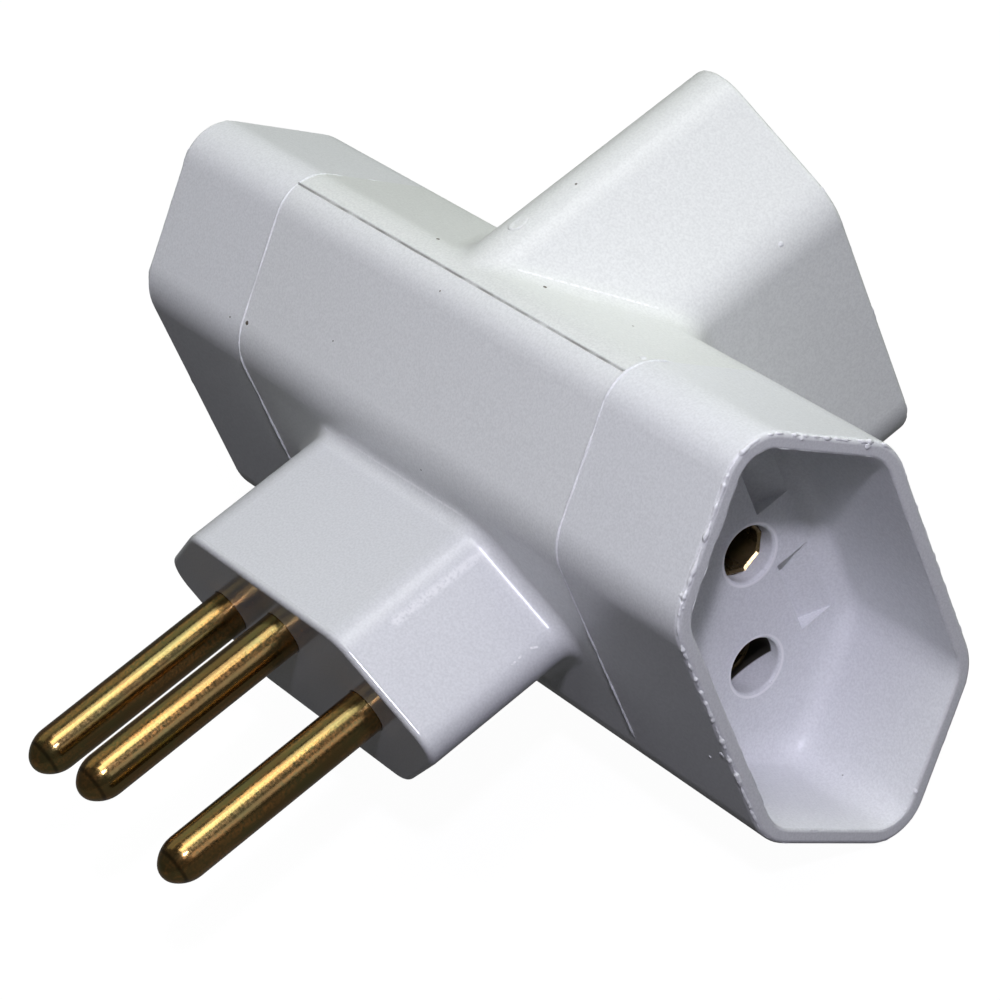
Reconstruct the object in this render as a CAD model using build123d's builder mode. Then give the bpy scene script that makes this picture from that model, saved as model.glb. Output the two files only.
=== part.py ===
"""Three-way mains adapter with a three-pin plug, two end sockets and one rear socket.

X runs along the bar, from the left socket to the right one. Y runs from the plug to the rear socket.
Z is up. The origin is the centre of the plug's face, midway between the line and neutral pins.
All sizes are in millimetres.
"""

import os

from build123d import *

os.makedirs("parts", exist_ok=True)

# Pin pattern that the plug and every socket share
pin_spacing = 19.0
earth_offset = 3.0
pin_diameter = 3.7
pin_length = 19.9
pin_dome = 2.4
pin_tip_share = 0.38
neck_diameter = 3.3

# Hexagonal section of the bar and of the arm, standing on its tip
section_width = 21.7
flat_margin = 2.0
tip_margin = 12.35
tip_radius = 3.9
shoulder_radius = 5.0
arm_step = 0.25

# Bar, arm and sockets
bar_length = 71.1
arm_reach = 27.05
arm_root_radius = 2.5
shell_wall = 2.0
rim_wall = 1.3
recess_depth = 12.6
recess_root_radius = 1.5
floor_thickness = 1.6
rim_outer_radius = 0.45
rim_inner_radius = 0.25
seam_bevel = 0.15

# Plug nose, a hexagon lying on its flat
nose_length = 14.1
nose_height = 15.8
nose_flat_margin = 0.6
nose_tip_margin = 9.4
nose_tip_radius = 2.3
nose_shoulder_radius = 3.5
nose_root_radius = 1.2
nose_edge_radius = 0.45
nose_wall = 2.0
plug_wall = 3.0

# Pin holes and contact chambers behind each socket floor
hole_diameter = 4.6
hole_edge_radius = 0.35
chamber_depth = 7.0
chamber_wall = 1.3
power_setback = 2.0

# Sloping pockets in each socket floor, one either side of the earth hole
pocket_width = 3.1
pocket_length = 6.9
pocket_depth = 1.6
pocket_start = 4.75
pocket_gap = 5.4
pocket_backing = 1.2
pocket_margin = 0.8

# Locating lip of an end cap
lip_length = 2.0
lip_wall = 1.0

# Brass work
sleeve_play = 0.2
sleeve_wall = 0.5
sleeve_slit = 0.7
contact_depth = 8.0
strip_thickness = 0.8
strip_width = 5.0
collar_diameter = 5.4
collar_thickness = 1.4
tail_diameter = 3.0
rivet_diameter = 3.6
rivet_thickness = 0.6
riser_width = 2.4
riser_margin = 0.4

# Insulating plates between the poles
separator_end_gap = 0.35
separator_notch_margin = 0.6

# Clearances, and how close an edge must lie to its place to be picked
pin_clearance = 0.03
slip_clearance = 0.1
pick_tolerance = 0.01

# Places that follow from the sizes above
pole_height = pin_spacing / 2
pin_tip_radius = pin_tip_share * pin_diameter
bar_axis_y = nose_length + section_width / 2
cap_length = recess_depth + floor_thickness
shell_half_length = bar_length / 2 - cap_length
cavity_half_width = section_width / 2 - shell_wall
sleeve_bore = pin_diameter + sleeve_play
sleeve_diameter = sleeve_bore + 2 * sleeve_wall
chamber_bore = sleeve_diameter + 2 * slip_clearance
chamber_diameter = chamber_bore + 2 * chamber_wall
foot_y = plug_wall + collar_thickness
neck_hole_diameter = neck_diameter + 2 * pin_clearance
section_sizes = (section_width, pin_spacing + 2 * flat_margin, pin_spacing + 2 * tip_margin)
arm_sizes = (section_width, section_sizes[1], section_sizes[2] - 2 * arm_step)
nose_sizes = (nose_height, pin_spacing + 2 * nose_flat_margin, pin_spacing + 2 * nose_tip_margin)

outward = {"right": Vector(1, 0, 0), "left": Vector(-1, 0, 0), "rear": Vector(0, 1, 0)}
earthward = {"right": Vector(0, 1, 0), "left": Vector(0, -1, 0), "rear": Vector(-1, 0, 0)}
mouth_distance = {"right": bar_length / 2, "left": bar_length / 2, "rear": arm_reach}
pole_place = {"line": (0, pole_height), "neutral": (0, -pole_height), "earth": (earth_offset, 0)}
setback = {"line": power_setback, "neutral": power_setback, "earth": 0.0}
pin_place = {"line": (pole_height, 0), "neutral": (-pole_height, 0), "earth": (0, earth_offset)}

bar_centre = Vector(0, bar_axis_y, 0)
split_plane = Plane(origin=bar_centre, x_dir=(1, 0, 0), z_dir=(0, 1, 0))


def socket_plane(side, distance):
    """Plane across a socket's axis, at a distance from the bar's centre, with X towards its earth hole."""
    return Plane(origin=bar_centre + outward[side] * distance, x_dir=earthward[side], z_dir=outward[side])


def nose_plane(y):
    """Plane across the plug nose, with its Y along the bar."""
    return Plane(origin=(0, y, 0), x_dir=(0, 0, 1), z_dir=(0, 1, 0))


def hexagon(plane, sizes, point_radius, side_radius, inset=0.0):
    """Rounded hexagon with its points up and down, drawn inset from its outline by a wall."""
    width, flat, height = sizes
    with BuildSketch(plane) as outline:
        with BuildLine():
            Polyline(
                (0, height / 2),
                (width / 2, flat / 2),
                (width / 2, -flat / 2),
                (0, -height / 2),
                (-width / 2, -flat / 2),
                (-width / 2, flat / 2),
                close=True,
            )
        make_face()
        corners = outline.vertices().sort_by(Axis.Y)
        fillet(corners[1:-1], radius=side_radius)
        ends = outline.vertices().sort_by(Axis.Y)
        fillet([ends[0], ends[-1]], radius=point_radius)
        if inset:
            offset(amount=-inset, mode=Mode.REPLACE)
    return outline.sketch


def bar_section(plane, inset=0.0):
    return hexagon(plane, section_sizes, tip_radius, shoulder_radius, inset)


def arm_section(plane, inset=0.0):
    return hexagon(plane, arm_sizes, tip_radius, shoulder_radius, inset)


def nose_section(plane, inset=0.0):
    return hexagon(plane, nose_sizes, nose_tip_radius, nose_shoulder_radius, inset)


def floor_distance(side):
    """Distance from the bar's centre to a socket's floor."""
    return mouth_distance[side] - recess_depth


def back_distance(side):
    """Distance from the bar's centre to the hidden face of a socket's floor."""
    return floor_distance(side) - floor_thickness


def disc(plane, place, diameter):
    with BuildSketch(plane) as round_face:
        with Locations(place):
            Circle(diameter / 2)
    return round_face.sketch


def pocket_profile(side, top_end):
    """Triangle that sinks from the floor's outer edge towards the socket's middle."""
    floor_plane = socket_plane(side, floor_distance(side))
    profile_plane = Plane(
        origin=floor_plane.from_local_coords((0, top_end, 0)),
        x_dir=floor_plane.x_dir,
        z_dir=-floor_plane.y_dir,
    )
    with BuildSketch(profile_plane) as profile:
        with BuildLine():
            Polyline(
                (pocket_start, 0),
                (pocket_start + pocket_width, 0),
                (pocket_start, -pocket_depth),
                close=True,
            )
        make_face()
    return profile.sketch


def add_chambers(side):
    """Contact chambers and pocket backings on the hidden side of a socket floor."""
    back = socket_plane(side, back_distance(side))
    for place in pole_place.values():
        extrude(disc(back, place, chamber_diameter), amount=-chamber_depth)
    for end in (1, -1):
        with BuildSketch(back) as backing:
            with Locations(
                (pocket_start + pocket_width / 2, end * (pocket_gap + pocket_length) / 2)
            ):
                Rectangle(pocket_width + 2 * pocket_margin, pocket_length + 2 * pocket_margin)
        extrude(backing.sketch, amount=-pocket_backing)


def cut_holes(side):
    """Pin holes, the chambers behind them and the two floor pockets."""
    floor_plane = socket_plane(side, floor_distance(side))
    inner_end = socket_plane(side, back_distance(side) - chamber_depth)
    for pole, place in pole_place.items():
        extrude(
            disc(floor_plane, place, hole_diameter),
            amount=-(floor_thickness + chamber_depth),
            mode=Mode.SUBTRACT,
        )
        extrude(
            disc(inner_end, place, chamber_bore),
            amount=chamber_depth - setback[pole],
            mode=Mode.SUBTRACT,
        )
    for end in (1, -1):
        top_end = end * (pocket_gap + pocket_length) / 2 + pocket_length / 2
        extrude(pocket_profile(side, top_end), amount=pocket_length, mode=Mode.SUBTRACT)


def cut_recess(side):
    """Hexagonal well that a plug nose enters, down to the socket's floor."""
    shape = arm_section if side == "rear" else bar_section
    extrude(
        shape(socket_plane(side, mouth_distance[side]), rim_wall),
        amount=-recess_depth,
        mode=Mode.SUBTRACT,
    )


def hole_mouths(part, plane, diameter):
    """Circular edges on a plane where holes of one diameter open."""
    return (
        part.edges()
        .filter_by(GeomType.CIRCLE)
        .filter_by(lambda edge: abs(plane.to_local_coords(edge.arc_center).Z) < pick_tolerance)
        .filter_by(lambda edge: abs(edge.radius - diameter / 2) < pick_tolerance)
    )


def cut_at_seams():
    """Keep the stretch of a shell between the seams where the end caps meet it."""
    for side in ("left", "right"):
        split(bisect_by=socket_plane(side, shell_half_length), keep=Keep.BOTTOM)


def outline_edges(part, side, distance, inset):
    """Edges that follow a socket's outline, inset by a wall, at a distance from the bar's centre."""
    shape = arm_section if side == "rear" else bar_section
    outline = shape(socket_plane(side, distance), inset).edges()
    centres = [edge.center() for edge in outline]
    return part.edges().filter_by(
        lambda edge: any((edge.center() - centre).length < pick_tolerance for centre in centres)
    )


def rim_edges(part, side, inset):
    """Edges of a socket's mouth."""
    return outline_edges(part, side, mouth_distance[side], inset)


def root_edges_of(part, side):
    """Edges where the walls of a socket's recess meet its floor."""
    return outline_edges(part, side, floor_distance(side), rim_wall)


# Front shell: front half of the bar with the plug nose
with BuildPart() as front_shell:
    extrude(bar_section(socket_plane("right", -bar_length / 2)), amount=bar_length)
    split(bisect_by=split_plane, keep=Keep.BOTTOM)
    extrude(nose_section(nose_plane(0)), amount=nose_length + shell_wall)
    root_edges = (
        front_shell.edges()
        .filter_by_position(Axis.Y, nose_length - pick_tolerance, nose_length + pick_tolerance)
        .filter_by(lambda edge: abs(edge.center().X) < nose_sizes[2] / 2)
        .filter_by(lambda edge: abs(edge.center().Z) < nose_height / 2 + pick_tolerance)
    )
    fillet(root_edges, radius=nose_root_radius)
    fillet(front_shell.edges().group_by(Axis.Y)[0], radius=nose_edge_radius)
    cut_at_seams()
    extrude(
        bar_section(socket_plane("right", -shell_half_length), shell_wall),
        amount=2 * shell_half_length,
        mode=Mode.SUBTRACT,
    )
    extrude(
        nose_section(nose_plane(plug_wall), nose_wall),
        amount=nose_length + shell_wall - plug_wall,
        mode=Mode.SUBTRACT,
    )
    for x, z in pin_place.values():
        extrude(
            disc(nose_plane(0), (z, x), neck_hole_diameter),
            amount=plug_wall,
            mode=Mode.SUBTRACT,
        )
    mouths = hole_mouths(front_shell, nose_plane(0), neck_hole_diameter)
    chamfer(mouths, length=pin_diameter / 2 + slip_clearance - neck_hole_diameter / 2)
    ridges = front_shell.edges().filter_by(Axis.X).group_by(Axis.Y)[-1].sort_by(Axis.Z)
    chamfer([ridges[0], ridges[-1]], length=seam_bevel)
front_shell.part.label = "front_shell"
export_step(front_shell.part, "parts/front_shell.step")


# Rear shell: rear half of the bar with the arm and its socket
with BuildPart() as rear_shell:
    extrude(bar_section(socket_plane("right", -bar_length / 2)), amount=bar_length)
    split(bisect_by=split_plane, keep=Keep.TOP)
    extrude(arm_section(socket_plane("rear", 0)), amount=arm_reach)
    fillet(rear_shell.edges(Select.NEW), radius=arm_root_radius)
    fillet(rim_edges(rear_shell, "rear", 0), radius=rim_outer_radius)
    cut_at_seams()
    extrude(
        bar_section(socket_plane("right", -shell_half_length), shell_wall),
        amount=2 * shell_half_length,
        mode=Mode.SUBTRACT,
    )
    extrude(
        arm_section(socket_plane("rear", 0), shell_wall),
        amount=back_distance("rear"),
        mode=Mode.SUBTRACT,
    )
    cut_recess("rear")
    fillet(rim_edges(rear_shell, "rear", rim_wall), radius=rim_inner_radius)
    fillet(root_edges_of(rear_shell, "rear"), radius=recess_root_radius)
    add_chambers("rear")
    cut_holes("rear")
    mouths = hole_mouths(rear_shell, socket_plane("rear", floor_distance("rear")), hole_diameter)
    fillet(mouths, radius=hole_edge_radius)
    ridges = rear_shell.edges().filter_by(Axis.X).group_by(Axis.Y)[0].sort_by(Axis.Z)
    chamfer([ridges[0], ridges[-1]], length=seam_bevel)
rear_shell.part.label = "rear_shell"
export_step(rear_shell.part, "parts/rear_shell.step")


# End caps: one socket each, with a lip that holds the two shells together
for side in ("left", "right"):
    with BuildPart() as socket_cap:
        extrude(bar_section(socket_plane(side, shell_half_length)), amount=cap_length)
        fillet(rim_edges(socket_cap, side, 0), radius=rim_outer_radius)
        cut_recess(side)
        fillet(rim_edges(socket_cap, side, rim_wall), radius=rim_inner_radius)
        fillet(root_edges_of(socket_cap, side), radius=recess_root_radius)
        lip_inset = shell_wall + slip_clearance
        lip_start = socket_plane(side, shell_half_length)
        extrude(bar_section(lip_start, lip_inset), amount=-lip_length)
        extrude(bar_section(lip_start, lip_inset + lip_wall), amount=-lip_length, mode=Mode.SUBTRACT)
        add_chambers(side)
        cut_holes(side)
        mouths = hole_mouths(socket_cap, socket_plane(side, floor_distance(side)), hole_diameter)
        fillet(mouths, radius=hole_edge_radius)
    socket_cap.part.label = f"{side}_socket_cap"
    export_step(socket_cap.part, f"parts/{side}_socket_cap.step")


# Plug pins: turned brass, with a neck in the plug wall, a collar behind it and a tail riveted to a busbar.
# The dome is a small arc at the tip and a larger one that runs into the shank.
tip = Vector(0, -pin_length)
shank_end = Vector(pin_diameter / 2, pin_dome - pin_length)
dome_rise = pin_dome - pin_tip_radius
flank_radius = (pin_diameter**2 / 4 + dome_rise**2 - pin_tip_radius**2) / (pin_diameter - 2 * pin_tip_radius)
dome_lean = Vector(flank_radius - pin_diameter / 2, -dome_rise).normalized()
dome_join = Vector(0, pin_tip_radius - pin_length) + dome_lean * pin_tip_radius

for pole, (x, z) in pin_place.items():
    with BuildPart() as pin:
        with BuildSketch(Plane(origin=(x, 0, z), x_dir=(1, 0, 0), z_dir=(0, 0, 1))) as profile:
            with BuildLine():
                RadiusArc(tip, dome_join, -pin_tip_radius)
                RadiusArc(dome_join, shank_end, -flank_radius)
                rivet_y = foot_y + strip_thickness
                Polyline(
                    shank_end,
                    (pin_diameter / 2, 0),
                    (neck_diameter / 2, 0),
                    (neck_diameter / 2, plug_wall),
                    (collar_diameter / 2, plug_wall),
                    (collar_diameter / 2, foot_y),
                    (tail_diameter / 2, foot_y),
                    (tail_diameter / 2, rivet_y),
                    (rivet_diameter / 2, rivet_y),
                    (rivet_diameter / 2, rivet_y + rivet_thickness),
                    (0, rivet_y + rivet_thickness),
                    tip,
                )
            make_face()
        revolve(axis=Axis((x, 0, z), (0, 1, 0)))
    pin.part.label = f"{pole}_pin"
    export_step(pin.part, f"parts/{pole}_pin.step")


# Contact sleeves: brass sheet rolled into a split tube, one behind each pin hole
for side in outward:
    for pole, place in pole_place.items():
        with BuildPart() as sleeve:
            inner_end = socket_plane(side, back_distance(side) - contact_depth)
            with BuildSketch(inner_end):
                with Locations(place):
                    Circle(sleeve_diameter / 2)
                    Circle(sleeve_bore / 2, mode=Mode.SUBTRACT)
                    with Locations((-sleeve_diameter / 4, 0)):
                        Rectangle(sleeve_diameter / 2, sleeve_slit, mode=Mode.SUBTRACT)
            extrude(amount=contact_depth - setback[pole])
        sleeve.part.label = f"{side}_{pole}_sleeve"
        export_step(sleeve.part, f"parts/{side}_{pole}_sleeve.step")


# Line and neutral busbars: the neutral one is the line one turned half round about the plug's axis
riser_near = bar_axis_y - cavity_half_width + riser_margin
riser_far = riser_near + riser_width
fold_x = pole_height - collar_diameter / 2
tab_reach = back_distance("right") - contact_depth
rear_tab_reach = back_distance("rear") - contact_depth

for pole, turn in (("line", 1), ("neutral", -1)):
    with BuildPart() as busbar:
        level = turn * pole_height
        # Plate across the bar, with a branch to the rear socket and a tongue to the riser
        with BuildSketch(Plane.XY.offset(level)):
            with Locations(bar_centre):
                Rectangle(2 * tab_reach, strip_width)
            with Locations((0, bar_axis_y + rear_tab_reach / 2)):
                Rectangle(strip_width, rear_tab_reach)
            tongue_x = fold_x + strip_thickness - strip_width / 2
            with Locations((turn * tongue_x, (riser_near + bar_axis_y) / 2)):
                Rectangle(strip_width, bar_axis_y - riser_near)
        extrude(amount=strip_thickness / 2, both=True)
        # Upright tabs that the sleeves stand on
        for side in outward:
            with BuildSketch(socket_plane(side, back_distance(side) - contact_depth)):
                with Locations(pole_place[pole]):
                    Rectangle(sleeve_diameter, sleeve_diameter)
            extrude(amount=-strip_thickness)
        # Riser folded down from the tongue and run forward to the pin
        with BuildSketch(Plane(origin=(turn * fold_x, 0, 0), x_dir=(0, 1, 0), z_dir=(turn, 0, 0))):
            with Locations(((foot_y + riser_far) / 2, 0)):
                Rectangle(riser_far - foot_y, strip_width)
            with Locations(((riser_near + riser_far) / 2, (pole_height - strip_width / 2) / 2)):
                Rectangle(riser_width, pole_height + strip_width / 2)
        extrude(amount=strip_thickness)
        # Foot that is riveted to the pin's tail
        with BuildSketch(nose_plane(foot_y)):
            with Locations((0, turn * pole_height)):
                Rectangle(strip_width, collar_diameter)
                Circle(tail_diameter / 2 + pin_clearance, mode=Mode.SUBTRACT)
        extrude(amount=strip_thickness)
    busbar.part.label = f"{pole}_busbar"
    export_step(busbar.part, f"parts/{pole}_busbar.step")


# Earth busbar: level with the bar's axis, with a foot turned up to the earth pin
with BuildPart() as earth_busbar:
    pad_length = tab_reach / 2
    with BuildSketch(Plane.XY):
        with Locations(bar_centre):
            Rectangle(2 * tab_reach, strip_width)
        for end in (1, -1):
            with Locations((end * (tab_reach - pad_length / 2), bar_axis_y + end * earth_offset)):
                Rectangle(pad_length, strip_width)
        with Locations((-earth_offset, bar_axis_y + rear_tab_reach / 2)):
            Rectangle(strip_width, rear_tab_reach)
        with Locations((0, (foot_y + bar_axis_y) / 2)):
            Rectangle(strip_width, bar_axis_y - foot_y)
    extrude(amount=strip_thickness / 2, both=True)
    for side in outward:
        with BuildSketch(socket_plane(side, back_distance(side) - contact_depth)):
            with Locations(pole_place["earth"]):
                Rectangle(sleeve_diameter, sleeve_diameter)
        extrude(amount=-strip_thickness)
    foot_top = earth_offset + collar_diameter / 2
    foot_bottom = -strip_thickness / 2
    with BuildSketch(nose_plane(foot_y)):
        with Locations(((foot_top + foot_bottom) / 2, 0)):
            Rectangle(foot_top - foot_bottom, strip_width)
        with Locations((earth_offset, 0)):
            Circle(tail_diameter / 2 + pin_clearance, mode=Mode.SUBTRACT)
    extrude(amount=strip_thickness)
earth_busbar.part.label = "earth_busbar"
export_step(earth_busbar.part, "parts/earth_busbar.step")


# Separators: plates between the end caps' lips, held by the chambers and notched where a riser passes
chamber_gap = pole_height - chamber_diameter
separator_thickness = chamber_gap - 2 * slip_clearance
separator_half_length = shell_half_length - lip_length - separator_end_gap

for name, turn in (("upper_separator", 1), ("lower_separator", -1)):
    with BuildPart() as separator:
        with BuildSketch(Plane.XY.offset(turn * pole_height / 2)):
            with Locations(bar_centre):
                Rectangle(2 * separator_half_length, 2 * (cavity_half_width - slip_clearance))
            notch_width = strip_thickness + 2 * separator_notch_margin
            notch_end = riser_far + separator_notch_margin
            notch_start = bar_axis_y - cavity_half_width
            with Locations((turn * (fold_x + strip_thickness / 2), (notch_start + notch_end) / 2)):
                Rectangle(notch_width, notch_end - notch_start, mode=Mode.SUBTRACT)
        extrude(amount=separator_thickness / 2, both=True)
    separator.part.label = name
    export_step(separator.part, f"parts/{name}.step")
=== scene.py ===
# %% [markdown]
# # A three-way mains adapter
#
# The adapter's solids come ready made, at their real size. This lesson dresses them: it sets up
# the view, the floor and the lamps, paints the white moulded plastic and the brass, and adds the
# small marks that a mould leaves behind, such as flash along the seams and burrs round the
# socket mouths. Everything is in metres, in the solids' own frame: X along the bar, Y from the
# plug to the rear socket, Z up.

# %% Load the solids
import math

import bpy
from mathutils import Matrix, Vector, noise
from mathutils.bvhtree import BVHTree


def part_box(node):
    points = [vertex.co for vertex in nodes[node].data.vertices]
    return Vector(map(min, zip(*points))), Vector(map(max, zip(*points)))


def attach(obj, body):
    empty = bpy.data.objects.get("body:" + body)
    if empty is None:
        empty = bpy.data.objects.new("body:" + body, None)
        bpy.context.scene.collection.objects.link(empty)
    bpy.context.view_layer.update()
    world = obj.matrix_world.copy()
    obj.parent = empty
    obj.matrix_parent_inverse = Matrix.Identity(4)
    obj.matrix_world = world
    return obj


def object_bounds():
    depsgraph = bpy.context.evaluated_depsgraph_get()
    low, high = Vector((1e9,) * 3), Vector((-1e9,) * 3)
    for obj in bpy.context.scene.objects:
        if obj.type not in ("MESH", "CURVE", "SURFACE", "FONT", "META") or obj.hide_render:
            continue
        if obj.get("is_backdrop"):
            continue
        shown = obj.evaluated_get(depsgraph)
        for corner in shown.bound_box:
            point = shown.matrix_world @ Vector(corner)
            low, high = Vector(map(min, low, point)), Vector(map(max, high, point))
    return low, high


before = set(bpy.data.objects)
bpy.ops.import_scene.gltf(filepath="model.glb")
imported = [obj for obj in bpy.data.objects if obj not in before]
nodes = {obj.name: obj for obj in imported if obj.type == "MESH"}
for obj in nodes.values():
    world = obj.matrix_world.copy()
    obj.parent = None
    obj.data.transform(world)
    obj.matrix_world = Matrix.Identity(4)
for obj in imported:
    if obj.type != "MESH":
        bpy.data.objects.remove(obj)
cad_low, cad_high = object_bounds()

MM = 0.001

# %% [markdown]
# ## Places on the adapter
#
# A dressing that follows the solids should ask them where they are. The right cap's box gives the
# bar's axis, its width and the mouths of the two end sockets. The front shell's box gives the
# seams, and the rear shell's box gives the third mouth. So the dressing moves with the solids.

# %% Places read from the solids
right_low, right_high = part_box("right_socket_cap")
mouth_x = right_high.x
rear_mouth_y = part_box("rear_shell")[1].y
bar_axis_y = (right_low.y + right_high.y) / 2
half_width = (right_high.y - right_low.y) / 2
seam_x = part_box("front_shell")[1].x
print(f"seams at x = +-{seam_x / MM:.2f} mm, bar axis at y = {bar_axis_y / MM:.2f} mm")

# %% [markdown]
# ## The camera
#
# The photograph was taken from close by with a long lens, turned a little about its own axis. So
# the camera is set by what a photographer would note: where it looks, from which side and height,
# how far off, how much it is rolled, and its lens. A small upward shift puts the adapter in the
# photograph's place in the frame.

# %% Camera
look_at = Vector((0.0, 19.92, -2.32)) * MM
view_azimuth = math.radians(67.99)
view_elevation = math.radians(39.17)
view_roll = math.radians(-24.44)
view_distance = 307.92 * MM
image_size = 1000
focal_pixels = 3919.7
centre_pixel = (500.2, 525.1)
sensor_width = 36.0
nearest_seen, farthest_seen = 0.01, 20.0


def away(azimuth, elevation):
    """Unit vector towards a place seen at an azimuth and an elevation, in radians."""
    return Vector((
        math.sin(azimuth) * math.cos(elevation),
        -math.cos(azimuth) * math.cos(elevation),
        math.sin(elevation),
    ))


camera_data = bpy.data.cameras.new("camera")
camera_data.sensor_width = sensor_width
camera_data.lens = sensor_width * focal_pixels / image_size
camera_data.shift_x = (image_size / 2 - centre_pixel[0]) / image_size
camera_data.shift_y = (centre_pixel[1] - image_size / 2) / image_size
camera_data.clip_start = nearest_seen
camera_data.clip_end = farthest_seen
camera = bpy.data.objects.new("camera", camera_data)
bpy.context.scene.collection.objects.link(camera)

view_back = away(view_azimuth, view_elevation)
camera_place = look_at + view_back * view_distance
level_turn = view_back.to_track_quat("Z", "Y").to_matrix()
camera_turn = level_turn @ Matrix.Rotation(view_roll, 3, "Z")
camera.matrix_world = Matrix.Translation(camera_place) @ camera_turn.to_4x4()
bpy.context.scene.camera = camera
print(f"lens {camera_data.lens:.1f} mm, {view_distance / MM:.0f} mm away")

# %% [markdown]
# ## Wiring nodes
#
# Floor, finishes and the repeated pieces are all node trees. They could be wired by hand in
# Blender's editor, but a script can be read and changed. One small helper keeps it short: it adds
# a node, sets its properties, and gives each input either a value or another node's output.
# The others do sums with that helper.

# %% Node helpers for sums


def feed(tree, node, values):
    """Give a node's inputs a value each, or another node's output."""
    for key, value in values.items():
        if isinstance(value, bpy.types.NodeSocket):
            tree.links.new(value, node.inputs[key])
        else:
            node.inputs[key].default_value = value


def add(tree, kind, values=None, **settings):
    """Add a node with its settings, and feed its inputs."""
    node = tree.nodes.new(kind)
    for name, value in settings.items():
        setattr(node, name, value)
    feed(tree, node, values or {})
    return node


def calc(tree, operation, first, second=0.0, third=0.0):
    """One step of arithmetic."""
    values = {0: first, 1: second, 2: third}
    return add(tree, "ShaderNodeMath", values, operation=operation).outputs["Value"]


def minus(tree, first, second):
    """One value less another."""
    return calc(tree, "SUBTRACT", first, second)


def absolute(tree, value):
    """A value without its sign."""
    return calc(tree, "ABSOLUTE", value)


def times(tree, first, second):
    """The product of two values."""
    return calc(tree, "MULTIPLY", first, second)


def larger(tree, first, second):
    """The larger of two values."""
    return calc(tree, "MAXIMUM", first, second)


def vector(tree, operation, first, second=(0.0, 0.0, 0.0), **scale):
    """One step of arithmetic with vectors, as the outputs of its node."""
    values = {0: first, 1: second} | scale
    return add(tree, "ShaderNodeVectorMath", values, operation=operation).outputs


def axes_of(tree, place):
    """The coordinates of a place, by the names of their axes."""
    return add(tree, "ShaderNodeSeparateXYZ", {"Vector": place}).outputs


print("helpers: feed, add, calc, minus, absolute, times, larger, vector, axes_of")

# %% [markdown]
# ## Masks and noise
#
# A finish is mostly colours mixed by masks, which are values between 0 and 1. These helpers make
# the masks that come up again and again: a soft step, a soft line and patches of noise.

# %% Node helpers for finishes
line_core = 0.5


def fade(tree, value, low, high):
    """0 where a value is at low or beyond, 1 where it is at high or beyond, and even between."""
    span = {"Value": value, "From Min": low, "From Max": high}
    return add(tree, "ShaderNodeMapRange", span, clamp=True).outputs["Result"]


def soft_line(tree, off, reach, core=line_core):
    """1 near the middle of a line and 0 from its reach on, by the distance off its middle."""
    return fade(tree, absolute(tree, off), reach, reach * core)


def blend(tree, share, first, second):
    """A colour between two others."""
    values = {"Factor": share, "A": first, "B": second}
    return add(tree, "ShaderNodeMix", values, data_type="RGBA").outputs["Result"]


def cloud(tree, place, scale, detail=2.0):
    """Soft noise in space, about 0.5 on average."""
    values = {"Vector": place, "Scale": scale, "Detail": detail}
    return add(tree, "ShaderNodeTexNoise", values).outputs[0]


def patches(tree, place, scale, low, high, detail=2.0):
    """Noise as a mask: 0 where it is under one level, 1 where it is over another."""
    return fade(tree, cloud(tree, place, scale, detail), low, high)


def finish_tree(name):
    """A new material, with its tree, its shader and the place on the object that it is seen at."""
    material = bpy.data.materials.new(name)
    material.use_nodes = True
    tree = material.node_tree
    shader = tree.nodes["Principled BSDF"]
    place = tree.nodes.new("ShaderNodeTexCoord").outputs["Object"]
    return material, tree, shader, place


print("helpers: fade, soft_line, blend, cloud, patches, finish_tree")

# %% [markdown]
# ## Floor and backdrop
#
# The photograph has a plain white ground. A white floor that is lit to pure white would throw too
# much light up under the adapter, so the floor is a grey that the lamps light plainly, and it only
# looks white: Light Path tells a ray that comes from the camera, or from a glossy surface, from
# the light that bounces. The grey still takes its part, so the adapter's shadow stays on the
# floor. Gloss sees a dimmer floor than the camera does, because the undersides of the pins and of
# the nose are dark in the photograph.

# %% Floor and backdrop
floor_z = cad_low.z
floor_size = 6.0
ground_white = (1.0, 1.0, 1.0, 1.0)
floor_grey = (0.06, 0.06, 0.06, 1.0)
floor_lift = 0.975
gloss_share = 0.1
room_light = (0.0, 0.0, 0.0, 1.0)


def seen_directly(tree):
    """1 for rays from the camera, less for what gloss and clear parts show, 0 for other light."""
    path = tree.nodes.new("ShaderNodeLightPath")
    total = path.outputs["Is Camera Ray"]
    for name in ("Is Glossy Ray", "Is Transmission Ray"):
        total = larger(tree, total, times(tree, path.outputs[name], gloss_share))
    return total


def white_floor():
    """A grey that is lit, with a glow on top that only direct looks see."""
    material = bpy.data.materials.new("white_floor")
    material.use_nodes = True
    tree = material.node_tree
    tree.nodes.clear()
    glow = times(tree, seen_directly(tree), floor_lift)
    grey = add(tree, "ShaderNodeBsdfDiffuse", {"Color": floor_grey})
    white = add(tree, "ShaderNodeEmission", {"Color": ground_white, "Strength": glow})
    both = add(tree, "ShaderNodeAddShader", {0: grey.outputs[0], 1: white.outputs[0]})
    add(tree, "ShaderNodeOutputMaterial", {"Surface": both.outputs[0]})
    return material


def linked_object(name, mesh):
    """An object at the origin for a mesh whose points are already in their place."""
    thing = bpy.data.objects.new(name, mesh)
    bpy.context.scene.collection.objects.link(thing)
    return thing


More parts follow.
